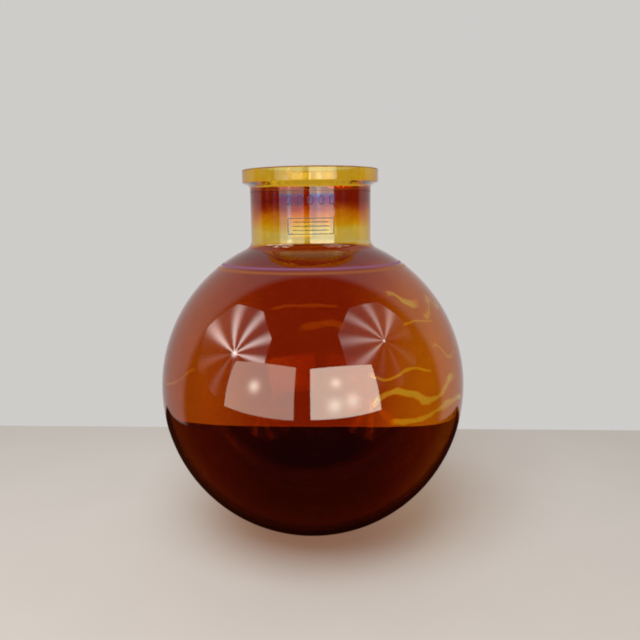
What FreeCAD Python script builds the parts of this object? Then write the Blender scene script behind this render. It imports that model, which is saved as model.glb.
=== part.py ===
"""Twenty-litre round bottom flask with a wide flanged neck, for a rotary evaporator.

The flask is one glass vessel, welded from three pieces: a blown ball (bulb), a tube (neck) and a
pressed ring with a ground top face (flange). Fired enamel on the front of the neck carries the
capacity in millilitres and a small ruled label field.

Frame: millimetres, +Z up along the axis of the flask, origin at the middle of the flat on which
the bulb stands, and -Y towards the front of the neck, where the enamel is.
"""

import FreeCAD, Part

import os
from math import atan2, cos, degrees, radians, sin, sqrt

import Sketcher

SIZES = {
    "bulb_diameter": 345.0,
    "bulb_wall": 4.51,
    "base_flat_diameter": 40.0,
    "shoulder_radius": 11.0,
    "lower_weld_height": 339.5,
    "neck_diameter": 134.5,
    "neck_wall": 5.0,
    "flange_diameter": 151.0,
    "rim_height": 14.2,
    "cone_height": 4.2,
    "root_height": 2.9,
    "root_radius": 3.0,
    "rim_rounding": 1.2,
    "total_height": 413.4,
    "enamel_thickness": 0.15,
    "enamel_line": 0.8,
    "numeral_height": 9.4,
    "numeral_width": 6.1,
    "numeral_stroke": 1.0,
    "numeral_pitch_angle": 9.5,
    "numeral_base_height": 374.8,
    "label_width": 48.0,
    "label_height": 17.0,
    "label_corner_radius": 1.7,
    "label_middle_height": 353.2,
    "rule_width": 37.6,
    "rule_spacing": 4.2,
}
NUMERALS = "20000"
RULES = 3
NECK_TOP = "Sizes.total_height - Sizes.rim_height - Sizes.cone_height - Sizes.root_height"

ORIGIN = (-1, 1)
V_AXIS = -2
START, END, CENTRE = 1, 2, 3

doc = FreeCAD.newDocument("round_bottom_flask")
sheet = doc.addObject("Spreadsheet::Sheet", "Sizes")
for row, (alias, value) in enumerate(SIZES.items(), start=1):
    sheet.set(f"A{row}", alias)
    sheet.set(f"B{row}", str(value))
    sheet.setAlias(f"B{row}", alias)
doc.recompute()


def size(alias):
    """The value of a cell of the sheet, in millimetres or degrees."""
    return float(sheet.get(alias))


def bind(thing, **formulas):
    """Binds properties of a document object to formulas over the sheet's cells."""
    for path, formula in formulas.items():
        thing.setExpression(path.replace("__", "."), formula)
    return thing


# ---- sketches -------------------------------------------------------------------------------


def line(sketch, start, end):
    """Adds a straight segment between two (radius, height) points."""
    a, b = (FreeCAD.Vector(*point, 0) for point in (start, end))
    return sketch.addGeometry(Part.LineSegment(a, b), False)


def arc(sketch, centre, radius, start, end):
    """Adds an anticlockwise arc, with its angles in degrees."""
    circle = Part.Circle(FreeCAD.Vector(*centre, 0), FreeCAD.Vector(0, 0, 1), radius)
    return sketch.addGeometry(Part.ArcOfCircle(circle, radians(start), radians(end)), False)


def measure(sketch, name, formula, kind, *where):
    """Adds a driving dimension and binds it to a formula over the sheet's cells."""
    value = float(sheet.evalExpression(formula.replace("Sizes.", "")))
    index = sketch.addConstraint(Sketcher.Constraint(kind, *where, value))
    sketch.renameConstraint(index, name)
    sketch.setExpression(f"Constraints.{name}", formula)


def fix(sketch, kind, *where):
    """Adds a geometric constraint."""
    sketch.addConstraint(Sketcher.Constraint(kind, *where))


def turned_body(label, draw):
    """A PartDesign body made by turning the profile that draw makes about the flask's axis."""
    body = doc.addObject("PartDesign::Body", label)
    sketch = body.newObject("Sketcher::SketchObject", f"{label}_profile")
    plane = next(f for f in body.Origin.OriginFeatures if f.Role == "XZ_Plane")
    sketch.AttachmentSupport = [(plane, "")]
    sketch.MapMode = "FlatFace"
    draw(sketch)
    turn = body.newObject("PartDesign::Revolution", f"{label}_turn")
    turn.Profile = sketch
    turn.ReferenceAxis = (sketch, ["V_Axis"])
    turn.Angle = 360
    body.Tip = turn
    doc.recompute()
    return body


# ---- glass ----------------------------------------------------------------------------------


def draw_bulb(sketch):
    """Half section of the ball: flat, outer sphere, shoulder, weld face, and the inside again."""
    ball = size("bulb_diameter") / 2
    hollow = ball - size("bulb_wall")
    flat = size("base_flat_diameter") / 2
    outside = size("neck_diameter") / 2
    inside = outside - size("neck_wall")
    shoulder = size("shoulder_radius")
    inner_shoulder = shoulder + size("neck_wall")
    weld = size("lower_weld_height")
    floor = size("bulb_wall")
    middle = sqrt(ball**2 - flat**2)
    inner_flat = sqrt(hollow**2 - (middle - floor) ** 2)
    # each shoulder arc touches its sphere and, at 180 degrees, its side of the neck
    reach = outside + shoulder
    rise = sqrt((ball + shoulder) ** 2 - reach**2)
    inner_rise = sqrt((hollow + inner_shoulder) ** 2 - reach**2)
    touch = degrees(atan2(rise, reach))
    inner_touch = degrees(atan2(inner_rise, reach))

    base = line(sketch, (0, 0), (flat, 0))
    sphere = arc(sketch, (0, middle), ball, degrees(atan2(-middle, flat)), touch)
    curl = arc(sketch, (reach, middle + rise), shoulder, 180, 180 + touch)
    side = line(sketch, (outside, middle + rise), (outside, weld))
    face = line(sketch, (outside, weld), (inside, weld))
    bore = line(sketch, (inside, weld), (inside, middle + inner_rise))
    inner_curl = arc(sketch, (reach, middle + inner_rise), inner_shoulder, 180, 180 + inner_touch)
    inner_start = degrees(atan2(floor - middle, inner_flat))
    cavity = arc(sketch, (0, middle), hollow, inner_start, inner_touch)
    inner_base = line(sketch, (inner_flat, floor), (0, floor))
    axis = line(sketch, (0, floor), (0, 0))

    fix(sketch, "Coincident", base, START, *ORIGIN)
    fix(sketch, "Coincident", base, END, sphere, START)
    fix(sketch, "Tangent", sphere, END, curl, END)
    fix(sketch, "Tangent", curl, START, side, START)
    fix(sketch, "Coincident", side, END, face, START)
    fix(sketch, "Coincident", face, END, bore, START)
    fix(sketch, "Tangent", bore, END, inner_curl, START)
    fix(sketch, "Tangent", inner_curl, END, cavity, END)
    fix(sketch, "Coincident", cavity, START, inner_base, START)
    fix(sketch, "Coincident", inner_base, END, axis, START)
    fix(sketch, "Coincident", axis, END, base, START)
    for level in (base, face, inner_base):
        fix(sketch, "Horizontal", level)
    for upright in (side, bore, axis):
        fix(sketch, "Vertical", upright)
    fix(sketch, "PointOnObject", sphere, CENTRE, V_AXIS)
    fix(sketch, "Coincident", cavity, CENTRE, sphere, CENTRE)
    measure(sketch, "flat", "Sizes.base_flat_diameter / 2", "DistanceX", *ORIGIN, base, END)
    measure(sketch, "ball", "Sizes.bulb_diameter / 2", "Radius", sphere)
    measure(sketch, "hollow", "Sizes.bulb_diameter / 2 - Sizes.bulb_wall", "Radius", cavity)
    measure(sketch, "floor", "Sizes.bulb_wall", "DistanceY", *ORIGIN, axis, START)
    measure(sketch, "shoulder", "Sizes.shoulder_radius", "Radius", curl)
    measure(sketch, "outside", "Sizes.neck_diameter / 2", "DistanceX", *ORIGIN, side, END)
    measure(sketch, "weld", "Sizes.lower_weld_height", "DistanceY", *ORIGIN, side, END)
    measure(sketch, "wall", "Sizes.neck_wall", "DistanceX", face, END, face, START)
    inner_formula = "Sizes.shoulder_radius + Sizes.neck_wall"
    measure(sketch, "inner_shoulder", inner_formula, "Radius", inner_curl)


def draw_neck(sketch):
    """Half section of the tube between the two welds."""
    outside = size("neck_diameter") / 2
    inside = outside - size("neck_wall")
    bottom = size("lower_weld_height")
    top = size("total_height") - size("rim_height") - size("cone_height") - size("root_height")
    corners = [(inside, bottom), (outside, bottom), (outside, top), (inside, top)]
    lower, outer, upper, inner = (
        line(sketch, corner, corners[(index + 1) % 4]) for index, corner in enumerate(corners)
    )
    for segment, following in ((lower, outer), (outer, upper), (upper, inner), (inner, lower)):
        fix(sketch, "Coincident", segment, END, following, START)
    for level in (lower, upper):
        fix(sketch, "Horizontal", level)
    for upright in (outer, inner):
        fix(sketch, "Vertical", upright)
    measure(sketch, "outside", "Sizes.neck_diameter / 2", "DistanceX", *ORIGIN, lower, END)
    measure(sketch, "wall", "Sizes.neck_wall", "DistanceX", lower, START, lower, END)
    measure(sketch, "bottom", "Sizes.lower_weld_height", "DistanceY", *ORIGIN, lower, END)
    measure(sketch, "top", NECK_TOP, "DistanceY", *ORIGIN, upper, START)


def draw_flange(sketch):
    """Half section of the flange: weld face, root, cone, upright rim and flat top, all sharp."""
    neck = size("neck_diameter") / 2
    inside = neck - size("neck_wall")
    rim = size("flange_diameter") / 2
    top = size("total_height")
    shelf = top - size("rim_height")
    throat = shelf - size("cone_height")
    bottom = throat - size("root_height")
    corners = [(inside, bottom), (neck, bottom), (neck, throat), (rim, shelf), (rim, top), (inside, top)]
    segments = [
        line(sketch, corner, corners[(index + 1) % len(corners)]) for index, corner in enumerate(corners)
    ]
    weld, root, cone, side, face, bore = segments
    for segment, following in zip(segments, segments[1:] + segments[:1]):
        fix(sketch, "Coincident", segment, END, following, START)
    for level in (weld, face):
        fix(sketch, "Horizontal", level)
    for upright in (root, side, bore):
        fix(sketch, "Vertical", upright)
    shelf_formula = "Sizes.total_height - Sizes.rim_height"
    measure(sketch, "neck", "Sizes.neck_diameter / 2", "DistanceX", *ORIGIN, weld, END)
    measure(sketch, "wall", "Sizes.neck_wall", "DistanceX", weld, START, weld, END)
    measure(sketch, "rim", "Sizes.flange_diameter / 2", "DistanceX", *ORIGIN, side, START)
    measure(sketch, "top", "Sizes.total_height", "DistanceY", *ORIGIN, side, END)
    measure(sketch, "shelf", shelf_formula, "DistanceY", *ORIGIN, side, START)
    measure(sketch, "cone", "Sizes.cone_height", "DistanceY", cone, START, cone, END)
    measure(sketch, "root", "Sizes.root_height", "DistanceY", root, START, root, END)


def circular_edge(shape, radius, height):
    """The name of the circular edge of that radius at that height."""
    for index, edge in enumerate(shape.Edges, start=1):
        ring = edge.Curve
        if isinstance(ring, Part.Circle) and edge.isClosed():
            if abs(ring.Radius - radius) < 1e-3 and abs(ring.Center.z - height) < 1e-3:
                return f"Edge{index}"
    raise ValueError(f"no circular edge of radius {radius} at height {height}")


def fillet(body, name, formula, rings):
    """Rounds the circular edges given as (radius, height) pairs."""
    turned = body.Tip
    edges = [circular_edge(turned.Shape, radius, height) for radius, height in rings]
    rounding = body.newObject("PartDesign::Fillet", name)
    rounding.Base = (turned, edges)
    bind(rounding, Radius=formula)
    body.Tip = rounding
    doc.recompute()


def round_flange(body):
    """Fire-polishes the flange: rounds the rim, the mouth of the bore and the root under the rim."""
    rim = size("flange_diameter") / 2
    neck = size("neck_diameter") / 2
    mouth = neck - size("neck_wall")
    top = size("total_height")
    shelf = top - size("rim_height")
    throat = shelf - size("cone_height")
    fillet(body, "flange_polish", "Sizes.rim_rounding", [(rim, top), (rim, shelf), (mouth, top)])
    fillet(body, "flange_root", "Sizes.root_radius", [(neck, throat)])


# ---- enamel ---------------------------------------------------------------------------------


def enamel_tube():
    """A thin tube round the neck: every enamel mark is a piece cut out of it."""
    outer = doc.addObject("Part::Cylinder", "enamel_outer")
    inner = doc.addObject("Part::Cylinder", "neck_surface")
    bind(outer, Radius="Sizes.neck_diameter / 2 + Sizes.enamel_thickness")
    bind(inner, Radius="Sizes.neck_diameter / 2")
    for cylinder in (outer, inner):
        bind(
            cylinder,
            Height=f"{NECK_TOP} - Sizes.lower_weld_height",
            Placement__Base__z="Sizes.lower_weld_height",
        )
    tube = doc.addObject("Part::Cut", "enamel_tube")
    tube.Base = outer
    tube.Tool = inner
    return tube


def front_box(name, width, height, middle):
    """A box that reaches from the axis past the front of the neck, centred on x = 0."""
    box = doc.addObject("Part::Box", name)
    return bind(
        box,
        Length=width,
        Width="Sizes.neck_diameter",
        Height=height,
        Placement__Base__x=f"-({width}) / 2",
        Placement__Base__y="-Sizes.neck_diameter",
        Placement__Base__z=f"{middle} - ({height}) / 2",
    )


def rounded_box(box, radius):
    """The box with the four edges that run towards the front rounded."""
    doc.recompute()
    along = [
        index
        for index, edge in enumerate(box.Shape.Edges, start=1)
        if abs(edge.tangentAt(edge.FirstParameter).y) > 0.5
    ]
    rounded = doc.addObject("Part::Fillet", f"{box.Name}_rounded")
    rounded.Base = box
    rounded.Edges = [(index, radius, radius) for index in along]
    return rounded


def label_frame(tube):
    """The outline of the label field, wrapped on the front of the neck."""
    outer = front_box("frame_outer", "Sizes.label_width", "Sizes.label_height",
                      "Sizes.label_middle_height")
    inner = front_box("frame_inner", "Sizes.label_width - 2 * Sizes.enamel_line",
                      "Sizes.label_height - 2 * Sizes.enamel_line", "Sizes.label_middle_height")
    band = doc.addObject("Part::Cut", "frame_band")
    band.Base = rounded_box(outer, size("label_corner_radius"))
    band.Tool = rounded_box(inner, size("label_corner_radius") - size("enamel_line"))
    frame = doc.addObject("Part::Common", "label_frame")
    frame.Base = band
    frame.Tool = tube
    return frame


def label_rules(tube):
    """The ruled lines inside the label field."""
    bars = doc.addObject("Part::MultiFuse", "rule_bars")
    bars.Shapes = [
        front_box(
            f"rule_bar_{step}",
            "Sizes.rule_width",
            "Sizes.enamel_line",
            f"Sizes.label_middle_height + {step - (RULES - 1) / 2} * Sizes.rule_spacing",
        )
        for step in range(RULES)
    ]
    rules = doc.addObject("Part::Common", "label_rules")
    rules.Base = bars
    rules.Tool = tube
    return rules


def wire_face(edges):
    """A face bounded by curves given in order."""
    return Part.Face(Part.Wire([curve.toShape() for curve in edges]))


def upright_arc(x, z, radius, start, end):
    """An arc in the XZ plane, with angles in degrees measured from +X towards +Z."""
    a, middle, b = (
        FreeCAD.Vector(x + radius * cos(radians(angle)), 0, z + radius * sin(radians(angle)))
        for angle in (start, (start + end) / 2, end)
    )
    return Part.Arc(a, middle, b)


def polyline(*points):
    """Straight segments through (x, z) points in the XZ plane."""
    corners = [FreeCAD.Vector(x, 0, z) for x, z in points]
    return [Part.LineSegment(a, b) for a, b in zip(corners, corners[1:])]


def stadium(half_width, low, high):
    """A face with straight sides and round ends in the XZ plane."""
    return wire_face([
        upright_arc(0, high, half_width, 0, 180),
        *polyline((-half_width, high), (-half_width, low)),
        upright_arc(0, low, half_width, 180, 360),
        *polyline((half_width, low), (half_width, high)),
    ])


def zero_face():
    """The numeral 0, standing on z = 0 and centred on x = 0."""
    half = size("numeral_width") / 2
    stroke = size("numeral_stroke")
    low, high = half, size("numeral_height") - half
    return stadium(half, low, high).cut(stadium(half - stroke, low, high))


def two_face():
    """The numeral 2: a hook, a 45 degree stroke and a foot, on z = 0 and centred on x = 0."""
    half = size("numeral_width") / 2
    stroke = size("numeral_stroke")
    hook = size("numeral_height") - half
    inner = half - stroke
    slope = -45
    outer_x, outer_z = half * cos(radians(slope)), hook + half * sin(radians(slope))
    inner_x, inner_z = inner * cos(radians(slope)), hook + inner * sin(radians(slope))
    return wire_face([
        upright_arc(0, hook, half, 180, slope),
        *polyline(
            (outer_x, outer_z),
            (outer_x - (outer_z - stroke), stroke),
            (half, stroke),
            (half, 0),
            (-half, 0),
            (-half, inner_z - (inner_x + half)),
            (inner_x, inner_z),
        ),
        upright_arc(0, hook, inner, slope, 180),
        *polyline((-inner, hook), (-half, hook)),
    ])


def capacity_digits(tube):
    """The capacity in millilitres, each numeral wrapped on the front of the neck."""
    faces = {"0": zero_face(), "2": two_face()}
    forwards = FreeCAD.Vector(0, -size("neck_diameter"), 0)
    marks = []
    for index, numeral in enumerate(NUMERALS):
        stamp = faces[numeral].extrude(forwards)
        stamp.translate(FreeCAD.Vector(0, 0, size("numeral_base_height")))
        turn = (index - (len(NUMERALS) - 1) / 2) * size("numeral_pitch_angle")
        stamp.rotate(FreeCAD.Vector(), FreeCAD.Vector(0, 0, 1), turn)
        marks += stamp.common(tube.Shape).Solids
    digits = doc.addObject("Part::Feature", "capacity_digits")
    digits.Shape = Part.makeCompound(marks)
    return digits


# ---- the flask ------------------------------------------------------------------------------


def build():
    """Builds every piece and returns the objects that become nodes."""
    bulb = turned_body("bulb", draw_bulb)
    neck = turned_body("neck", draw_neck)
    flange = turned_body("flange", draw_flange)
    round_flange(flange)
    tube = enamel_tube()
    doc.recompute()
    marks = [capacity_digits(tube), label_frame(tube), label_rules(tube)]
    doc.recompute()
    return [bulb, neck, flange, *marks]


def check(nodes):
    """Stops on a failed object, an open sketch or a shape that isn't a set of valid solids."""
    for thing in doc.Objects:
        if "Invalid" in thing.State or "Error" in thing.State:
            raise RuntimeError(f"{thing.Name} failed: {thing.State}")
        if thing.TypeId == "Sketcher::SketchObject" and not thing.FullyConstrained:
            raise RuntimeError(f"{thing.Name} isn't fully constrained")
    for node in nodes:
        if node.Shape.isNull() or not node.Shape.isValid() or not node.Shape.Solids:
            raise RuntimeError(f"{node.Label} has no valid solid")


nodes = build()
check(nodes)
os.makedirs("parts", exist_ok=True)
for node in nodes:
    node.Shape.exportStep(f"parts/{node.Label}.step")
    box = node.Shape.BoundBox
    print(f"{node.Label}: {len(node.Shape.Solids)} solids, {node.Shape.Volume:.0f} mm3, "
          f"z {box.ZMin:.2f} to {box.ZMax:.2f}")
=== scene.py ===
"""Blender 4.5 scene of the round bottom flask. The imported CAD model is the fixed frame, and this script
builds the glass and the fired enamel that are seen. Lengths are in metres, in the CAD model's frame."""
import math

import bpy
import numpy as np
from mathutils import Matrix, Vector, noise


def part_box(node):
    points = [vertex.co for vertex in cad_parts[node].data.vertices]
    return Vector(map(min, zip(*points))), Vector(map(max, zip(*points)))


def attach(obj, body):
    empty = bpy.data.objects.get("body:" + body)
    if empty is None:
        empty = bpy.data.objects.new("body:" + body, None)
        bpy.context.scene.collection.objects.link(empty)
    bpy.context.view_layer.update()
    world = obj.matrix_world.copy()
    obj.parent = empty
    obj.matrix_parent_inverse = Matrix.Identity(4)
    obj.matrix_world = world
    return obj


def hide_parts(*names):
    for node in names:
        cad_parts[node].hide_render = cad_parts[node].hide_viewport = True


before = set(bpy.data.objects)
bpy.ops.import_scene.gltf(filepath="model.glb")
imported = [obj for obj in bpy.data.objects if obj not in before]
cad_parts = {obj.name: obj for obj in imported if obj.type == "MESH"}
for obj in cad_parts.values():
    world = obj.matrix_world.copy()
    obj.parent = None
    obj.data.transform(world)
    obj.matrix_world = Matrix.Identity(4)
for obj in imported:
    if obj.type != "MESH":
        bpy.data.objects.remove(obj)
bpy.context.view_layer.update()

MM = 0.001
SEGMENTS = 256                          # facets around the axis of the turned glass
SHARP_ANGLE = math.radians(35)          # a steeper fold than this stays a hard edge
GLASS_IOR = 1.474                       # borosilicate glass
MIRROR_GAIN = 3.0                       # first reflections are sampled more often, and dimmed, by this
ON_AXIS = 0.001 * MM                    # a point this close to the axis is on it
NEARLY = 0.01 * MM                      # heights this close count as equal

# Sizes that the frame gives.
BULB_LOW, BULB_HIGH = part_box("bulb")
NECK_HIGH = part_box("neck")[1]
FLANGE_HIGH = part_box("flange")[1]
BULB_RADIUS = BULB_HIGH.x
NECK_RADIUS = NECK_HIGH.x
FLANGE_RADIUS = FLANGE_HIGH.x
WELD_HEIGHT = BULB_HIGH.z
FLANGE_WELD_HEIGHT = NECK_HIGH.z
MOUTH_HEIGHT = FLANGE_HIGH.z


def node_points(node):
    """Radius and height of every vertex of a CAD node, as two arrays."""
    points = np.array([v.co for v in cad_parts[node].data.vertices])
    return np.hypot(points[:, 0], points[:, 1]), points[:, 2]


def radius_at(node, height, pick):
    """The smallest or the largest radius (pick is min or max) of a CAD node at a height."""
    radii, heights = node_points(node)
    return float(pick(radii[np.abs(heights - height) < NEARLY]))


RIM_ROUNDING = 1.2 * MM                 # both edges of the rim, and the mouth of the bore
ROOT_HEIGHT = 2.9 * MM                  # from the flange's weld to the foot of the cone under the rim
CONE_RISE = 4.2 * MM                    # that cone
ROOT_RADIUS = 3.0 * MM                  # the curve between that cone and the neck
SHOULDER_RADIUS = 11 * MM               # outside curve between the ball and the neck
BORE_RADIUS = radius_at("neck", WELD_HEIGHT, min)
BASE_RADIUS = radius_at("bulb", BULB_LOW.z, max)
BULB_WALL = float(min(h for r, h in zip(*node_points("bulb")) if r < BASE_RADIUS and h > NEARLY))
SPHERE_HEIGHT = math.sqrt(BULB_RADIUS ** 2 - BASE_RADIUS ** 2)


# --- Shader nodes ---------------------------------------------------------------------------------------


class Graph:
    """Short calls for shader nodes: each makes one node and returns one of its output sockets."""

    def __init__(self, tree):
        self.tree = tree
        tree.nodes.clear()

    def node(self, kind, inputs=None, output=0, **settings):
        made = self.tree.nodes.new("ShaderNode" + kind)
        for name, value in settings.items():
            setattr(made, name, value)
        for key, value in (inputs or {}).items():
            if isinstance(value, bpy.types.NodeSocket):
                self.tree.links.new(value, made.inputs[key])
            else:
                made.inputs[key].default_value = value
        return made.outputs[output]

    def math(self, operation, first, second=0.0, third=0.0):
        return self.node("Math", {0: first, 1: second, 2: third}, operation=operation)

    def vector(self, operation, first, second):
        return self.node("VectorMath", {0: first, 1: second}, operation=operation)

    def scale(self, vector, by):
        return self.node("VectorMath", {0: vector, "Scale": by}, operation="SCALE")

    def split(self, vector):
        made = self.node("SeparateXYZ", {0: vector}).node
        return made.outputs[0], made.outputs[1], made.outputs[2]

    def ease(self, value, start, end, low=0.0, high=1.0):
        """Goes smoothly from low to high as value goes from start to end."""
        limits = {"Value": value, "From Min": start, "From Max": end, "To Min": low, "To Max": high}
        return self.node("MapRange", limits, interpolation_type="SMOOTHSTEP")

    def hump(self, value, start, top, end, height=1.0):
        """Rises smoothly from 0 at start to height at top, and falls to 0 at end."""
        rise = self.ease(value, start, top, 0.0, height)
        fall = self.ease(value, top, end, 1.0, 0.0)
        return self.math("MULTIPLY", rise, fall)

    def mix(self, factor, first, second):
        return self.node("Mix", {0: factor, 2: first, 3: second}, data_type="FLOAT")

    def tint(self, factor, first, second, blend_type="MIX"):
        colours = {0: factor, 6: first, 7: second}
        return self.node("Mix", colours, 2, data_type="RGBA", blend_type=blend_type)

    def ramp(self, value, stops):
        """A colour ramp through stops of (position, colour)."""
        output = self.node("ValToRGB", {0: value})
        band = output.node.color_ramp
        for _ in stops[2:]:
            band.elements.new(0.5)
        for element, (position, colour) in zip(band.elements, stops):
            element.position = position
            element.color = (*colour, 1.0)
        return output

    def noise(self, place, scale, detail=2.0, output=0):
        settings = {"Vector": place, "Scale": scale, "Detail": detail}
        return self.node("TexNoise", settings, output)

    def path(self, name):
        return self.node("LightPath", output=name)

    def shader_mix(self, factor, first, second):
        return self.node("MixShader", {0: factor, 1: first, 2: second})

    def finish(self, surface, kind="Material"):
        made = self.tree.nodes.new("ShaderNodeOutput" + kind)
        self.tree.links.new(surface, made.inputs["Surface"])


def new_material(name):
    material = bpy.data.materials.new(name)
    material.use_nodes = True
    return material, Graph(material.node_tree)


# --- Silver stain in the glass --------------------------------------------------------------------------

# Stain density by depth below the mouth: (depth in mm, density). 0 is clear glass and 1 the bulb's brown.
STAIN_BY_DEPTH = [
    (0, 0.18), (12.5, 0.20), (14.5, 0.39), (19.5, 0.42), (21.5, 1.05), (34, 1.08), (43, 0.74), (49, 0.50),
    (60, 0.27), (64, 0.14), (80, 0.13), (84.5, 0.85), (88, 1.18), (97, 1.18), (100, 1.0),
]
STAIN_DEPTH = 0.1                       # the ramps by depth reach this far below the mouth
DENSEST = 1.2
EDGE_WANDER = 26 * MM                   # the stain's edges on the neck wander by up to half of this
WANDER_STARTS = (24 * MM, 44 * MM)      # depths between which that sets in
WANDER_STOPS = (68 * MM, 76 * MM)       # and between which it dies down to the next share
WANDER_LEFT = 0.15
DRIFT_SCALE = 14.0                      # waves per metre of that wandering, which also bends the veins
MARBLE_SCALE = 27.0                     # waves per metre of the finer marbling
MARBLE_BEND = 0.07                      # in metres, the wandering swirls it by up to half of this
MARBLE_FLATTEN = (1.0, 1.0, 2.2)        # its patches are flatter than they are wide
MARBLED = (24 * MM, 42 * MM, 64 * MM)   # depths where the strong marbling starts, peaks and ends
MARBLE_STRENGTHS = (0.62, 0.13)         # there, and everywhere
# What one pass through the stained skin leaves of white light: (density, colour).
STAIN_COLOURS = [
    (0.0, (1.0, 1.0, 1.0)), (0.1, (0.98, 0.83, 0.38)), (0.2, (0.97, 0.73, 0.13)),
    (0.35, (0.96, 0.61, 0.035)), (0.55, (0.86, 0.42, 0.028)), (0.8, (0.68, 0.23, 0.032)),
    (1.0, (0.58, 0.137, 0.025)), (1.2, (0.46, 0.08, 0.02)),
]
# Pale veins on the ball. Each follows height = base + swing * sin(turns), where turns grows with the angle
# from the front: base and swing in mm, period, phase, first and last angle in degrees, width in mm, strength.
VEINS = [
    (193, 9.5, 31, 21, 17, 62, 4.5, 1.0),
    (171, 2.5, 30, 18.5, 24, 68, 4.0, 0.9),
    (218.5, 3.3, 20, 29.5, 16, 46, 1.6, 0.8),
    (259, 3, 30, 34, 33, 56, 1.4, 0.7),
    (280, 5, 22, 31, 34, 50, 4.0, 1.0),
    (268, 6, 17, 56, 48, 76, 3.5, 0.9),
    (228, 9, 24, 44, 46, 70, 1.6, 0.7),
    (203, 13, 40, -54, -72, -42, 1.6, 0.5),
]
BACK_VEINS = [                          # the same on the far side, with angles from the back towards +X
    (209, 2.5, 34, 0, -8, 19, 7.0, 0.42),
    (238, 3, 60, -20, -24, 15, 3.4, 0.42),
]
VEIN_CLEARING = 0.94                    # how much of the stain the strongest vein lacks
VEIN_BEND_ANGLE = 16.0                  # how far the wandering bends a vein sideways, in degrees
VEIN_BEND_HEIGHT = 18 * MM              # and up and down
VEIN_FRAY_SCALE = 52.0                  # waves per metre of a vein's change in width,
VEIN_FRAY = (2.2, -0.05)                # which is multiplied by this much noise, plus this
VEIN_EDGE = 0.45                        # share of its half width where a vein is at full strength
VEIN_TAPER = 4.0                        # it fades in and out over this many degrees
PALE_SIDES = (0.04, 0.13, 0.30)         # thinner stain at the ball's sides: from and to in metres, and by
PALE_RIGHT = (0.02, 0.13, 0.16)         # and thinner still at the right
PALE_STOPS = 8 * MM                     # both fade out over this height below the neck


def vein_mask(g, angle, height, soft, vein):
    """1 along one pale vein and 0 away from it. soft frays its edge."""
    base, swing, period, phase, first, last, width, strength = vein
    turns = g.math("MULTIPLY", g.math("SUBTRACT", angle, phase), math.tau / period)
    course = g.math("MULTIPLY_ADD", g.math("SINE", turns), swing * MM, base * MM)
    away = g.math("ABSOLUTE", g.math("SUBTRACT", height, course))
    frayed = g.math("MULTIPLY", width * MM, soft)
    line = g.ease(g.math("DIVIDE", away, frayed), 1.0, VEIN_EDGE)
    begins = g.ease(angle, first, first + VEIN_TAPER)
    ends = g.ease(angle, last, last - VEIN_TAPER)
    window = g.math("MULTIPLY", begins, ends)
    return g.math("MULTIPLY", line, g.math("MULTIPLY", window, strength))


def marbling(g, place, drift, depth):
    """Swirled light and dark patches, and how strongly they change the stain's density."""
    swirled = g.vector("MULTIPLY", g.vector("ADD", place, g.scale(drift, MARBLE_BEND)), MARBLE_FLATTEN)
    marble = g.math("SUBTRACT", g.noise(swirled, MARBLE_SCALE, 4.0), 0.5)
    strong, faint = MARBLE_STRENGTHS
    return marble, g.math("ADD", g.hump(depth, *MARBLED, strong), faint)


def paler_sides(g, x, z):
    """How much less stain the sides of the ball hold than its middle."""
    from_middle, full, both = PALE_SIDES
    from_right, full_right, more = PALE_RIGHT
    sides = g.ease(g.math("ABSOLUTE", x), from_middle, full, 0.0, both)
    paler = g.math("ADD", sides, g.ease(x, from_right, full_right, 0.0, more))
    on_neck = g.ease(z, WELD_HEIGHT - PALE_STOPS, WELD_HEIGHT)
    return g.math("MULTIPLY", paler, g.math("SUBTRACT", 1.0, on_neck))


def vein_lines(g, place, drift_x, drift_y):
    """1 along the strongest pale vein and 0 away from all of them."""
    x, y, z = g.split(place)
    to_front = g.math("DEGREES", g.math("ARCTAN2", x, g.math("MULTIPLY", y, -1.0)))
    to_back = g.math("DEGREES", g.math("ARCTAN2", x, y))
    height = g.math("MULTIPLY_ADD", drift_y, VEIN_BEND_HEIGHT, z)
    soft = g.math("MULTIPLY_ADD", g.noise(place, VEIN_FRAY_SCALE), *VEIN_FRAY)
    pale = None
    for angle, veins in ((to_front, VEINS), (to_back, BACK_VEINS)):
        bent = g.math("MULTIPLY_ADD", drift_x, VEIN_BEND_ANGLE, angle)
        for vein in veins:
            line = vein_mask(g, bent, height, soft, vein)
            pale = line if pale is None else g.math("MAXIMUM", pale, line)
    return pale


def stain_density(g, place):
    """Stain density at a place on the glass's skin."""
    x, _, z = g.split(place)
    drift = g.vector("SUBTRACT", g.noise(place, DRIFT_SCALE, 3.0, 1), (0.5, 0.5, 0.5))
    drift_x, drift_y, drift_z = g.split(drift)

    depth = g.math("SUBTRACT", MOUTH_HEIGHT, z)
    waver = g.ease(depth, *WANDER_STARTS, 0.0, EDGE_WANDER)
    steady = g.ease(depth, *WANDER_STOPS, 1.0, WANDER_LEFT)
    shift = g.math("MULTIPLY", drift_z, g.math("MULTIPLY", waver, steady))
    wavy_depth = g.math("DIVIDE", g.math("ADD", depth, shift), STAIN_DEPTH)
    stops = [(mm * MM / STAIN_DEPTH, (density / DENSEST,) * 3) for mm, density in STAIN_BY_DEPTH]
    density = g.math("MULTIPLY", g.ramp(wavy_depth, stops), DENSEST)

    marble, strength = marbling(g, place, drift, depth)
    density = g.math("MULTIPLY_ADD", marble, strength, density)
    density = g.math("SUBTRACT", density, paler_sides(g, x, z))
    pale = vein_lines(g, place, drift_x, drift_y)
    kept = g.math("SUBTRACT", 1.0, g.math("MULTIPLY", pale, VEIN_CLEARING))
    return g.math("MAXIMUM", g.math("MULTIPLY", density, kept), 0.0)


def stain_colour(g, density):
    """The colour that one pass through the stained skin gives white light."""
    stops = [(amount / DENSEST, colour) for amount, colour in STAIN_COLOURS]
    return g.ramp(g.math("DIVIDE", density, DENSEST), stops)


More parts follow.
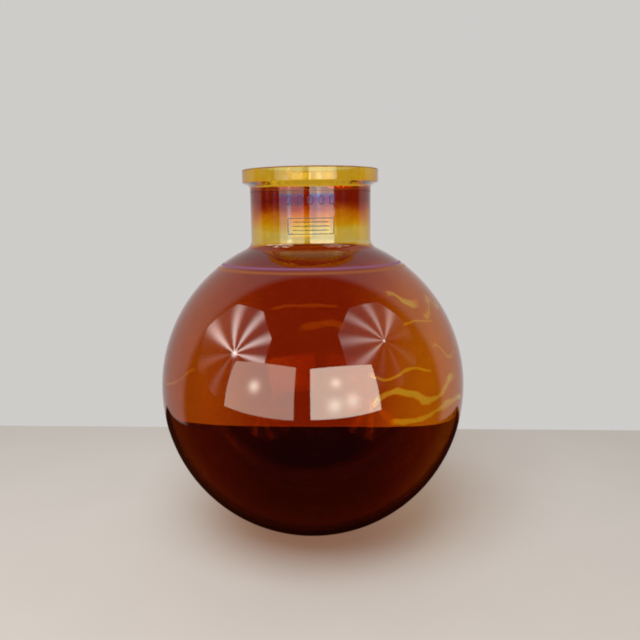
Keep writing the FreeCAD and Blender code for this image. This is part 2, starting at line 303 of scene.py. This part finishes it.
# Tints that the thin film on the flange and the neck gives its reflections: (depth in mm, colour).
FILM_TINTS = [
    (0, (0.40, 0.42, 0.50)), (13, (0.40, 0.42, 0.50)), (14.5, (0.45, 0.40, 0.22)),
    (19.5, (0.45, 0.40, 0.22)), (21.5, (0.45, 0.55, 0.60)), (26.6, (0.50, 0.60, 0.60)),
    (27.6, (0.02, 0.50, 1.0)), (29.2, (0.04, 0.44, 1.0)), (31.5, (0.09, 0.24, 0.80)),
    (41, (0.20, 0.38, 0.58)), (60, (0.09, 0.27, 0.64)), (72, (0.15, 0.40, 0.75)), (78, (1.0, 1.0, 1.0)),
]
FILM_LIMB = (0.86, 0.80, 0.80, 1.0)     # the film's tint where it is seen edge on
FILM_TURNS = (0.22, 0.48)               # how edge on the film is where that tint starts and is full
# Thin lines of flat, lit colour around the glass: heights in mm where each starts, peaks and ends, its
# strength and its tone. The first two are a painted gold and purple reflection of the film at the shoulder.
# The third is a dark ring under the flange, partly its weld seam and partly painted shade. The last is a
# brown line along the rim's upper edge.
LINES = [
    # painted reflection: the film's gold sheen at the shoulder, as flat colour
    ((306.0, 308.2, 310.2), 0.42, (0.42, 0.15, 0.03, 1.0)),
    # painted reflection: the film's purple sheen at the shoulder, as flat colour
    ((310.3, 312.0, 313.7), 0.75, (0.25, 0.105, 0.23, 1.0)),
    # a dark ring under the flange: partly its weld seam, partly painted shade
    ((388.6, 389.4, 390.2), 0.45, (0.05, 0.02, 0.015, 1.0)),
    ((411.8, 412.8, 413.6), 0.45, (0.20, 0.08, 0.03, 1.0)),
]


def film_tint(g, place):
    """Tint of what the outer skin mirrors."""
    z = g.split(place)[2]
    depth = g.math("DIVIDE", g.math("SUBTRACT", MOUTH_HEIGHT, z), STAIN_DEPTH)
    tint = g.ramp(depth, [(mm * MM / STAIN_DEPTH, colour) for mm, colour in FILM_TINTS])
    edge_on = g.node("LayerWeight", {"Blend": 0.5}, "Facing")
    return g.tint(g.ease(edge_on, *FILM_TURNS), tint, FILM_LIMB)


def thin_line(g, place, heights, strength):
    """strength along a thin line around the glass, and 0 away from it."""
    start, top, end = (height * MM for height in heights)
    return g.hump(g.split(place)[2], start, top, end, strength)


# --- Materials ------------------------------------------------------------------------------------------


SHADOW_TONE = (0.62, 0.56, 0.50, 1.0)   # the flask's soft shadow is mixed from the stain's colour and this
SHADOW_GREY = 0.75                      # in this share
ENAMEL_WEAR_SCALE = 420.0               # worn spots per metre
ENAMEL_WORN = (0.42, 0.72)              # noise at which the wear starts and is full
ENAMEL_ROUGHNESS = (0.34, 0.6)          # fresh and worn
ENAMEL_GRAIN_SCALE = 2600.0             # grains per metre
ENAMEL_GRAIN = 0.02 * MM                # and their height


def glass_body(g, pass_colour, mirror_colour):
    """Clear cut between what bends through and what mirrors. The first mirror off the flask is sampled
    more often by MIRROR_GAIN, and the stage looks as much dimmer there, which keeps the noise low. Both
    parts come out a little dim for it: by 7% face on, and by more the more edge on the glass is seen."""
    fresnel = g.node("Fresnel", {"IOR": GLASS_IOR})
    more = g.math("MULTIPLY", fresnel, MIRROR_GAIN)
    capped = g.math("DIVIDE", more, g.math("MULTIPLY_ADD", fresnel, MIRROR_GAIN - 1.0, 1.0))
    share = g.mix(g.path("Is Camera Ray"), fresnel, capped)
    bends = g.node("BsdfRefraction", {"Color": pass_colour, "Roughness": 0.0, "IOR": GLASS_IOR})
    mirrors = g.node("BsdfAnisotropic", {"Color": mirror_colour, "Roughness": 0.0})
    return g.shader_mix(share, bends, mirrors)


def lit_through(g, surface, lamp_colour):
    """Lets lamps and soft light pass straight through the glass, tinted."""
    clear = g.node("BsdfTransparent", {"Color": lamp_colour})
    soft = g.shader_mix(g.path("Is Diffuse Ray"), surface, clear)
    return g.shader_mix(g.path("Is Shadow Ray"), soft, clear)


def stained_glass():
    """The outer skin: silver stain in the glass, with an iridescent film that tints its mirror at the neck
    and the flange. Thin lines of flat colour are painted on it: painted gold and purple reflections of the
    film at the shoulder, a dark ring under the flange that is partly painted shade, and a brown line at the
    rim.
    """
    material, g = new_material("stained_glass")
    place = g.node("TexCoord", output="Object")
    colour = stain_colour(g, stain_density(g, place))
    inside = g.node("NewGeometry", output="Backfacing")
    twice = g.tint(1.0, colour, colour, "MULTIPLY")
    surface = glass_body(g, colour, g.tint(inside, film_tint(g, place), twice))
    outside = g.math("SUBTRACT", 1.0, inside)
    # each line is painted as flat diffuse colour: painted reflections at the shoulder and painted shade under
    # the flange
    for heights, strength, tone in LINES:
        amount = g.math("MULTIPLY", thin_line(g, place, heights, strength), outside)
        surface = g.shader_mix(amount, surface, g.node("BsdfDiffuse", {"Color": tone}))
    g.finish(lit_through(g, surface, g.tint(SHADOW_GREY, colour, SHADOW_TONE)))
    return material


def clear_glass():
    """The inner skin, which holds no stain."""
    material, g = new_material("clear_glass")
    white = (1.0, 1.0, 1.0, 1.0)
    g.finish(lit_through(g, glass_body(g, white, white), white))
    return material


def welded_glass():
    """The faces where two glass pieces are fused: nothing is seen there."""
    material, g = new_material("weld")
    g.finish(g.node("BsdfTransparent", {"Color": (1.0, 1.0, 1.0, 1.0)}))
    return material


def fired_enamel(name, base, worn):
    """Screen-printed enamel, fired into the glass: slightly worn, with a fine grain."""
    material, g = new_material(name)
    place = g.node("TexCoord", output="Object")
    wear = g.ease(g.noise(place, ENAMEL_WEAR_SCALE, 4.0), *ENAMEL_WORN)
    colour = g.tint(wear, (*base, 1.0), (*worn, 1.0))
    height = g.noise(place, ENAMEL_GRAIN_SCALE, 3.0)
    grain = g.node("Bump", {"Strength": 0.25, "Distance": ENAMEL_GRAIN, "Height": height})
    finish = {"Base Color": colour, "Roughness": g.mix(wear, *ENAMEL_ROUGHNESS), "Normal": grain}
    g.finish(g.node("BsdfPrincipled", finish))
    return material


# --- Turned glass ---------------------------------------------------------------------------------------

STAINED, CLEAR, WELD = 0, 1, 2          # material slots of a turned piece
INNER_WOBBLE = 0.13 * MM                # how far the blown inner surface wanders
OUTER_WOBBLE = 0.05 * MM
WOBBLE_SCALE = 21.0                     # waves of that wandering per metre
WOBBLE_FADE = 12 * MM                   # it fades out this close to a weld
BALL_STEPS = 120                        # points along the ball's outline, and along the other curves:
OUTER_SHOULDER_STEPS = 16
INNER_SHOULDER_STEPS = 20
ROUNDING_STEPS = 8
BASE_STEPS = 4
NECK_STEPS = 24


def arc(centre, radius, first, last, steps):
    """Points on an arc, as (distance from the axis, height). Angles are in radians."""
    angles = np.linspace(first, last, steps + 1)
    return [(centre[0] + radius * math.cos(a), centre[1] + radius * math.sin(a)) for a in angles]


def straight(start, end, steps=1):
    return [tuple(point) for point in np.linspace(start, end, steps + 1)]


def turn(name, stretches, welds, closed, outer_wobble=0.0):
    """A solid turned about the Z axis. Each stretch is (material slot, points), starts where the one
    before it ends, and goes up outside and down inside. welds are heights where the wobble fades out."""
    outline, slots = [], []
    for slot, points in stretches:
        outline += points[:-1] if closed or points is not stretches[-1][1] else points
        slots += [slot] * (len(points) - 1)
    turns = [math.tau * step / SEGMENTS for step in range(SEGMENTS)]
    vertices, rings = [], []
    for index, (radius, height) in enumerate(outline):
        if radius < ON_AXIS:
            rings.append([len(vertices)] * SEGMENTS)
            vertices.append(Vector((0, 0, height)))
            continue
        rings.append(list(range(len(vertices), len(vertices) + SEGMENTS)))
        slot = slots[min(index, len(slots) - 1)]
        reach = {STAINED: outer_wobble, CLEAR: INNER_WOBBLE, WELD: 0.0}[slot]
        reach *= min([1.0] + [abs(height - weld) / WOBBLE_FADE for weld in welds])
        for angle in turns:
            spot = Vector((radius * math.cos(angle), radius * math.sin(angle), height))
            waver = noise.noise(spot * WOBBLE_SCALE)
            away = (spot - Vector((0, 0, min(height, SPHERE_HEIGHT)))).normalized()
            vertices.append(spot + away * reach * waver)
    faces, face_slots = [], []
    for index in range(len(slots)):
        low, high = rings[index], rings[(index + 1) % len(rings)]
        for step in range(SEGMENTS):
            after = (step + 1) % SEGMENTS
            corners = [low[step], low[after], high[after], high[step]]
            face = list(dict.fromkeys(corners))
            if len(face) > 2:
                faces.append(face)
                face_slots.append(slots[index])
    mesh = bpy.data.meshes.new(name)
    mesh.from_pydata(vertices, [], faces)
    for material in GLASS_MATERIALS:
        mesh.materials.append(material)
    mesh.polygons.foreach_set("material_index", face_slots)
    mesh.shade_smooth()
    mesh.set_sharp_from_angle(angle=SHARP_ANGLE)
    piece = bpy.data.objects.new(name, mesh)
    bpy.context.scene.collection.objects.link(piece)
    return piece


def shoulder(sphere_radius, neck_radius, curve_radius):
    """The curve between ball and neck: its centre, and the angle at which it leaves the ball."""
    across = neck_radius + curve_radius
    rise = math.sqrt((sphere_radius + curve_radius) ** 2 - across ** 2)
    return (across, SPHERE_HEIGHT + rise), math.atan2(rise, across)


def bulb_outline():
    middle = (0.0, SPHERE_HEIGHT)
    outer_curve, outer_leave = shoulder(BULB_RADIUS, NECK_RADIUS, SHOULDER_RADIUS)
    inner_radius = BULB_RADIUS - BULB_WALL
    inner_curve_radius = SHOULDER_RADIUS + NECK_RADIUS - BORE_RADIUS
    inner_curve, inner_leave = shoulder(inner_radius, BORE_RADIUS, inner_curve_radius)
    base_angle = -math.acos(BASE_RADIUS / BULB_RADIUS)
    floor_angle = -math.asin((SPHERE_HEIGHT - BULB_WALL) / inner_radius)
    outside = (
        straight((0.0, 0.0), (BASE_RADIUS, 0.0), BASE_STEPS)[:-1]
        + arc(middle, BULB_RADIUS, base_angle, outer_leave, BALL_STEPS)[:-1]
        + arc(outer_curve, SHOULDER_RADIUS, outer_leave + math.pi, math.pi, OUTER_SHOULDER_STEPS)
        + [(NECK_RADIUS, WELD_HEIGHT)]
    )
    weld = straight((NECK_RADIUS, WELD_HEIGHT), (BORE_RADIUS, WELD_HEIGHT))
    inside = (
        [(BORE_RADIUS, WELD_HEIGHT)]
        + arc(inner_curve, inner_curve_radius, math.pi, inner_leave + math.pi, INNER_SHOULDER_STEPS)[:-1]
        + arc(middle, inner_radius, inner_leave, floor_angle, BALL_STEPS)
        + straight((inner_radius * math.cos(floor_angle), BULB_WALL), (0.0, BULB_WALL), BASE_STEPS)[1:]
    )
    return [(STAINED, outside), (WELD, weld), (CLEAR, inside)]


def tube_outline(low, high):
    """A plain tube between two welds."""
    return [
        (STAINED, straight((NECK_RADIUS, low), (NECK_RADIUS, high), NECK_STEPS)),
        (WELD, straight((NECK_RADIUS, high), (BORE_RADIUS, high))),
        (CLEAR, straight((BORE_RADIUS, high), (BORE_RADIUS, low), NECK_STEPS)),
        (WELD, straight((BORE_RADIUS, low), (NECK_RADIUS, low))),
    ]


def rounded(before, corner, after, radius):
    """Points on the arc that rounds the corner between two straight lines."""
    towards_before = (Vector(before) - Vector(corner)).normalized()
    towards_after = (Vector(after) - Vector(corner)).normalized()
    half = towards_before.angle(towards_after) / 2
    middle = Vector(corner) + (towards_before + towards_after).normalized() * radius / math.sin(half)
    first = Vector(corner) + towards_before * radius / math.tan(half) - middle
    last = Vector(corner) + towards_after * radius / math.tan(half) - middle
    points = []
    for share in np.linspace(0, 1, ROUNDING_STEPS + 1):
        spoke = first.lerp(last, float(share)).normalized() * radius
        points.append(tuple(middle + spoke))
    return points


def flange_outline():
    low, high = FLANGE_WELD_HEIGHT, MOUTH_HEIGHT
    foot = (NECK_RADIUS, low)
    throat = (NECK_RADIUS, low + ROOT_HEIGHT)
    lower_rim = (FLANGE_RADIUS, low + ROOT_HEIGHT + CONE_RISE)
    upper_rim = (FLANGE_RADIUS, high)
    mouth = (BORE_RADIUS, high)
    bore_foot = (BORE_RADIUS, low)
    outside = (
        [foot]
        + rounded(foot, throat, lower_rim, ROOT_RADIUS)
        + rounded(throat, lower_rim, upper_rim, RIM_ROUNDING)
        + rounded(lower_rim, upper_rim, mouth, RIM_ROUNDING)
        + rounded(upper_rim, mouth, bore_foot, RIM_ROUNDING)[:1]
    )
    inside = rounded(upper_rim, mouth, bore_foot, RIM_ROUNDING) + [bore_foot]
    return [(STAINED, outside), (CLEAR, inside), (WELD, straight(bore_foot, foot))]


def build_glass():
    welds = (WELD_HEIGHT, FLANGE_WELD_HEIGHT)
    pieces = {
        "bulb": turn("bulb_glass_shell", bulb_outline(), welds, closed=False, outer_wobble=OUTER_WOBBLE),
        "neck": turn("neck_tube", tube_outline(WELD_HEIGHT, FLANGE_WELD_HEIGHT), welds, closed=True),
        "flange": turn("flange_ring", flange_outline(), welds, closed=True),
    }
    for node, piece in pieces.items():
        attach(piece, "root")
        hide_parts(node)


def dress_enamel():
    looks = {
        "capacity_digits": fired_enamel("enamel_digits", (0.035, 0.035, 0.075), (0.07, 0.07, 0.12)),
        "label_frame": fired_enamel("enamel_frame", (0.10, 0.10, 0.10), (0.19, 0.19, 0.18)),
        "label_rules": fired_enamel("enamel_rules", (0.07, 0.075, 0.07), (0.15, 0.15, 0.14)),
    }
    for node, material in looks.items():
        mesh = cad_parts[node].data
        mesh.materials.clear()
        mesh.materials.append(material)


# --- Studio ---------------------------------------------------------------------------------------------

# The flask leaned back in its room by LEAN. Here it stands upright, so the camera, the lights and the room
# are set out level first, and are then tipped forwards together about the ball's centre.
LEAN = math.radians(7.4)
ROOM_TIP = (
    Matrix.Translation((0, 0, SPHERE_HEIGHT))
    @ Matrix.Rotation(LEAN, 4, "X")
    @ Matrix.Translation((0, 0, -SPHERE_HEIGHT))
)
CAMERA_PLACE = (0.0, -0.698, 0.461)
CAMERA_PITCH = math.radians(17.09)
CAMERA_YAW = math.radians(-0.72)
CAMERA_ROLL = math.radians(-0.65)
FLOOR_REACH = 1.102                     # the floor ends this far in front of the camera
FLOOR_SKEW = 0.06                       # and a little nearer to the right
TABLE_SIDE = 0.49                       # in and through the glass only a table's top is seen. It goes this
TABLE_FRONT = -0.222                    # far to each side, and from here on away from the camera
BACKDROP = (0.62, 0.605, 0.59)          # the pale room behind the flask
BACKDROP_MIRRORED = 1.4                 # it looks this much brighter mirrored in the glass
GRAZING_POWER = 20.0                    # how narrowly the part of it around straight ahead is brightened
ROOM = (0.034, 0.024, 0.02)             # the dim room behind the camera
ROOM_EDGE = (0.18, 0.32)                # how level and forward a way is where the backdrop starts, is full
FLOOR_TONE = (0.66, 0.63, 0.60)
FLOOR_MOTTLE = (0.97, 1.03)             # it varies between these
FLOOR_MOTTLE_SCALE = 9.0                # this often per metre
FLOOR_HALF_SIZE = 3.0
FLOOR_THROUGH = (0.43, 0.16, 0.055)     # how much of the floor's tone shows through the glass
FLOOR_MIRRORED = (0.16, 0.05, 0.02)     # and how much of it the glass mirrors
SOFTBOX_TONE = (0.98, 1.02, 0.84, 1.0)
SOFTBOX_LEAN = 0.45                     # how far behind the panel its lower edge is taken to lie
SOFTBOX_BLUR = 0.012                    # width of that edge's soft border
LEAN_MARGIN = 0.03                      # the panel itself reaches this far below the edge
OCTABOX_TONE = (0.98, 1.0, 0.95, 1.0)
OCTABOX_DISTANCE = 1.6
OCTABOX_HALF_ANGLE = 29                 # degrees from its middle to a corner, from the ball's centre
OCTABOX_FOLDS = 9                       # bright wedges around its hub
OCTABOX_DIM = 0.6                       # light between its wedges
OCTABOX_LAMP = 22.0                     # light of the lamp at its hub
WEDGE_SHARPNESS = 5.0
WEDGE_FADE = (0.2, 1.4)                 # a wedge fades between these shares of the box's size
WEDGE_LEFT = 0.25                       # to this
LIT_EDGE = (-0.35, 0.1)                 # cosine from lit_side where the brighter half starts and is full
UNLIT = 0.10                            # light of the other half
PANEL_THROUGH = 0.45                    # how much of a softbox a mirror behind glass shows
KEY_PLACE = (-0.3, -0.9, 1.7)
KEY_SIZE = 1.4
KEY_POWER = 34.0
KEY_COLOUR = (1.0, 0.96, 0.92)


def first_mirror(g):
    """1 where the stage is seen in the flask's first reflection, else 0."""
    mirrored = g.math("GREATER_THAN", g.path("Glossy Depth"), 0.5)
    outside = g.math("LESS_THAN", g.path("Transmission Depth"), 0.5)
    return g.math("MULTIPLY", mirrored, outside)


def inner_mirror(g):
    """1 where the stage is seen in a mirror behind glass, such as the flask's far wall, else 0."""
    mirrored = g.math("GREATER_THAN", g.path("Glossy Depth"), 0.5)
    through = g.math("GREATER_THAN", g.path("Transmission Depth"), 0.5)
    return g.math("MULTIPLY", mirrored, through)


def evened(g):
    """What the stage keeps of its light, so that MIRROR_GAIN doesn't brighten the first mirror."""
    return g.mix(first_mirror(g), 1.0, 1.0 / MIRROR_GAIN)


def as_camera_sees(g, vector):
    """A vector in the camera's own axes: to the right, up and forward."""
    turn_to = {"vector_type": "VECTOR", "convert_from": "WORLD", "convert_to": "CAMERA"}
    return g.node("VectorTransform", {0: vector}, **turn_to)


def build_camera():
    data = bpy.data.cameras.new("camera")
    data.sensor_width = 36.0
    data.lens = 36.0
    data.clip_start = 0.01
    camera = bpy.data.objects.new("camera", data)
    bpy.context.scene.collection.objects.link(camera)
    bpy.context.scene.camera = camera
    camera.matrix_world = (
        ROOM_TIP
        @ Matrix.Translation(CAMERA_PLACE)
        @ Matrix.Rotation(CAMERA_YAW, 4, "Z")
        @ Matrix.Rotation(math.pi / 2 - CAMERA_PITCH, 4, "X")
        @ Matrix.Rotation(CAMERA_ROLL, 4, "Z")
    )
    bpy.context.view_layer.update()
    return camera


def build_world():
    """A pale backdrop beyond the flask, and a dim room on the camera's side. A grazing reflection can't be
    sampled more often, so straight ahead the backdrop is brightened by up to what evened() takes away."""
    world = bpy.data.worlds.new("studio")
    world.use_nodes = True
    g = Graph(world.node_tree)
    direction = g.node("TexCoord", output="Generated")
    _, up, forward = g.split(as_camera_sees(g, direction))
    level = g.math("MULTIPLY_ADD", up, math.sin(CAMERA_PITCH),
                   g.math("MULTIPLY", forward, math.cos(CAMERA_PITCH)))
    facing = g.math("MULTIPLY_ADD", forward, 0.5, 0.5)
    grazing = g.math("MULTIPLY_ADD", g.math("POWER", facing, GRAZING_POWER), MIRROR_GAIN - 1.0, 1.0)
    mirrored = g.math("MULTIPLY", grazing, BACKDROP_MIRRORED)
    pale = g.scale(BACKDROP, g.mix(first_mirror(g), 1.0, mirrored))
    colour = g.tint(g.ease(level, *ROOM_EDGE), (*ROOM, 1.0), pale)
    g.finish(g.node("Background", {"Color": colour, "Strength": evened(g)}), "World")
    bpy.context.scene.world = world


def build_floor():
    """A plain pale floor. Seen in and through the glass it is a darker table's top."""
    material, g = new_material("floor_pale")
    place = g.node("TexCoord", output="Object")
    tone = g.scale(FLOOR_TONE, g.mix(g.noise(place, FLOOR_MOTTLE_SCALE), *FLOOR_MOTTLE))
    tone = g.tint(g.path("Is Transmission Ray"), tone, g.vector("MULTIPLY", tone, FLOOR_THROUGH))
    tone = g.tint(g.path("Is Glossy Ray"), tone, g.vector("MULTIPLY", tone, FLOOR_MIRRORED))
    solid = g.node("BsdfDiffuse", {"Color": g.scale(tone, evened(g))})
    across, _, ahead = g.split(as_camera_sees(g, place))
    off_side = g.math("GREATER_THAN", g.math("ABSOLUTE", across), TABLE_SIDE)
    off_table = g.math("MAXIMUM", off_side, g.math("LESS_THAN", ahead, TABLE_FRONT))
    indirect = g.math("MAXIMUM", g.path("Is Glossy Ray"), g.path("Is Transmission Ray"))
    reach = g.math("MULTIPLY_ADD", across, FLOOR_SKEW, g.node("CameraData", output="View Z Depth"))
    beyond = g.math("GREATER_THAN", reach, FLOOR_REACH)
    hidden = g.math("MAXIMUM", beyond, g.math("MULTIPLY", off_table, indirect))
    g.finish(g.shader_mix(hidden, solid, g.node("BsdfTransparent")))
    mesh = bpy.data.meshes.new("floor")
    size = FLOOR_HALF_SIZE
    corners = [(-size, -size, 0), (size, -size, 0), (size, size, 0), (-size, size, 0)]
    mesh.from_pydata(corners, [], [(0, 1, 2, 3)])
    mesh.materials.append(material)
    floor = bpy.data.objects.new("floor", mesh)
    bpy.context.scene.collection.objects.link(floor)


def towards(azimuth, elevation):
    """A direction from the ball's centre: azimuth from the front towards +X, in degrees."""
    around, up = math.radians(azimuth), math.radians(elevation)
    return Vector((math.sin(around) * math.cos(up), -math.cos(around) * math.cos(up), math.sin(up)))


def hang_panel(name, camera, middle, facing, outline, material):
    """A flat light panel at middle, whose own Z axis is facing. It moves with the camera, and is seen
    only in and through the glass."""
    mesh = bpy.data.meshes.new(name)
    mesh.from_pydata([(x, y, 0) for x, y in outline], [], [list(range(len(outline)))])
    mesh.materials.append(material)
    panel = bpy.data.objects.new(name, mesh)
    bpy.context.scene.collection.objects.link(panel)
    turned = facing.to_track_quat("Z", "Y").to_matrix().to_4x4()
    panel.matrix_world = ROOM_TIP @ Matrix.Translation(middle) @ turned
    panel.visible_camera = False
    panel.visible_diffuse = False
    panel.visible_shadow = False
    bpy.context.view_layer.update()
    panel.parent = camera
    panel.matrix_parent_inverse = camera.matrix_world.inverted()


def panel_material(name, draw):
    """Light from a softbox. draw gives the colour and the strength at a place on the panel."""
    material, g = new_material(name)
    x, y, _ = g.split(g.node("TexCoord", output="Object"))
    colour, strength = draw(g, x, y)
    kept = g.mix(inner_mirror(g), evened(g), PANEL_THROUGH)
    light = {"Color": colour, "Strength": g.math("MULTIPLY", strength, kept)}
    g.finish(g.node("Emission", light))
    material.cycles.emission_sampling = "NONE"
    return material


def glow(g, x, y, spot):
    """A soft round bright spot: (x, y, radius, strength)."""
    across, up, radius, strength = spot
    aside = g.math("SUBTRACT", x, across)
    above = g.math("SUBTRACT", y, up)
    squared = g.math("MULTIPLY_ADD", aside, aside, g.math("MULTIPLY", above, above))
    return g.math("MULTIPLY", g.math("EXPONENT", g.math("MULTIPLY", squared, -1.0 / radius ** 2)), strength)


def square_box(name, camera, inner, outer, heights, radiance, spots):
    """An upright softbox between two edges, each (azimuth, distance from the axis), and two heights
    above the ball's centre. Its lower edge is taken to lie further back than the panel, so a ray that
    falls steeply misses it sooner. spots are its lamps: (share from inner to outer edge, height, radius,
    strength)."""
    centre = Vector((0, 0, SPHERE_HEIGHT))
    near, far = (centre + towards(azimuth, 0) * distance for azimuth, distance in (inner, outer))
    low, high = heights
    middle = (near + far) / 2 + Vector((0, 0, (low + high) / 2))
    facing = (far - near).cross(Vector((0, 0, 1)))
    facing *= -1 if facing.dot(middle - centre) > 0 else 1
    to_panel = facing.to_track_quat("Z", "Y").inverted()
    half_width = (far - near).length / 2
    half_height = (high - low) / 2

    def draw(g, x, y):
        light = radiance
        for share, height, radius, strength in spots:
            spot = to_panel @ (near.lerp(far, share) + Vector((0, 0, height)) - middle)
            light = g.math("ADD", light, glow(g, x, y, (spot.x, spot.y, radius, strength)))
        seen_from = g.node("VectorTransform", {0: g.node("NewGeometry", output="Incoming")},
                           vector_type="VECTOR", convert_from="WORLD", convert_to="OBJECT")
        beside, over, ahead = g.split(seen_from)
        level = g.math("SQRT", g.math("MULTIPLY_ADD", beside, beside, g.math("MULTIPLY", ahead, ahead)))
        fall = g.math("MULTIPLY", g.math("DIVIDE", over, level), SOFTBOX_LEAN)
        lower_edge = LEAN_MARGIN - half_height
        seen = g.ease(g.math("SUBTRACT", y, fall), lower_edge, lower_edge + SOFTBOX_BLUR)
        return SOFTBOX_TONE, g.math("MULTIPLY", light, seen)

    outline = [(-half_width, -half_height), (half_width, -half_height),
               (half_width, half_height), (-half_width, half_height)]
    hang_panel(name, camera, middle, facing, outline, panel_material(name, draw))


def eight_sided_box(name, camera, middle, hub_at, first_fold, lit_side, radiance, lamp_radius):
    """An eight-sided softbox. Its silver lining folds the lamp's light into bright wedges that meet at
    the lamp, its hub. lit_side is the angle of its brighter half. Angles are in degrees."""
    centre = Vector((0, 0, SPHERE_HEIGHT))
    out = towards(*middle)
    size = OCTABOX_DISTANCE * math.tan(math.radians(OCTABOX_HALF_ANGLE))
    corners = [math.tau * side / 8 for side in range(8)]
    outline = [(size * math.cos(corner), size * math.sin(corner)) for corner in corners]
    hub = (-out).to_track_quat("Z", "Y").inverted() @ ((towards(*hub_at) - out) * OCTABOX_DISTANCE)

    def draw(g, x, y):
        aside = g.math("SUBTRACT", x, hub.x)
        above = g.math("SUBTRACT", y, hub.y)
        around = g.math("ARCTAN2", above, aside)
        waves = g.math("MULTIPLY", g.math("SUBTRACT", around, math.radians(first_fold)), OCTABOX_FOLDS / 2)
        wedge = g.math("POWER", g.math("ABSOLUTE", g.math("COSINE", waves)), WEDGE_SHARPNESS)
        out_from_hub = g.math("SQRT", g.math("MULTIPLY_ADD", aside, aside, g.math("MULTIPLY", above, above)))
        fade_start, fade_end = (share * size for share in WEDGE_FADE)
        wedge = g.math("MULTIPLY", wedge, g.ease(out_from_hub, fade_start, fade_end, 1.0, WEDGE_LEFT))
        along = g.math("COSINE", g.math("SUBTRACT", around, math.radians(lit_side)))
        lit = g.ease(along, *LIT_EDGE, UNLIT, 1.0)
        light = g.math("MULTIPLY", g.mix(wedge, OCTABOX_DIM, radiance), lit)
        return OCTABOX_TONE, g.math("ADD", light, glow(g, x, y, (hub.x, hub.y, lamp_radius, OCTABOX_LAMP)))

    hang_panel(name, camera, centre + out * OCTABOX_DISTANCE, -out, outline, panel_material(name, draw))


def build_panels(camera):
    square_box("softbox_left", camera, inner=(-12.4, 1.01), outer=(-60.2, 1.29),
               heights=(-0.116, 0.60), radiance=5.1, spots=[(0.517, 0.283, 0.07, 12.0)])
    lamps = [(0.345, 0.376, 0.06, 8.0), (0.307, 0.112, 0.08, 8.0), (0.546, 0.145, 0.08, 7.0)]
    square_box("softbox_right", camera, inner=(-2, 1.03), outer=(44, 1.198),
               heights=(-0.104, 0.60), radiance=10.4, spots=lamps)
    eight_sided_box("octabox_left", camera, middle=(-70, 29), hub_at=(-64.5, 28.3),
                    first_fold=5, lit_side=85, radiance=12.0, lamp_radius=0.05)
    eight_sided_box("octabox_right", camera, middle=(60, 35), hub_at=(64.3, 35.5),
                    first_fold=-10, lit_side=75, radiance=5.8, lamp_radius=0.02)


def build_key_light():
    """Soft light for the enamel, the lines and the floor. It isn't seen in the glass."""
    light = bpy.data.lights.new("key", "AREA")
    light.size = KEY_SIZE
    light.energy = KEY_POWER
    light.color = KEY_COLOUR
    key = bpy.data.objects.new("key", light)
    bpy.context.scene.collection.objects.link(key)
    key.location = KEY_PLACE
    key.rotation_euler = (Vector((0, 0, SPHERE_HEIGHT)) - key.location).to_track_quat("-Z", "Y").to_euler()
    key.visible_glossy = False
    key.visible_transmission = False
    key.visible_camera = False


def set_rendering():
    scene = bpy.context.scene
    scene.view_settings.view_transform = "Standard"
    cycles = scene.cycles
    cycles.max_bounces = 24
    cycles.transmission_bounces = 20
    cycles.glossy_bounces = 8
    cycles.diffuse_bounces = 2
    cycles.transparent_max_bounces = 32
    cycles.sample_clamp_indirect = 4.0
    cycles.caustics_reflective = False
    cycles.caustics_refractive = False
    cycles.filter_width = 1.9


GLASS_MATERIALS = [stained_glass(), clear_glass(), welded_glass()]
build_glass()
dress_enamel()
studio_camera = build_camera()
build_world()
build_floor()
build_panels(studio_camera)
build_key_light()
set_rendering()
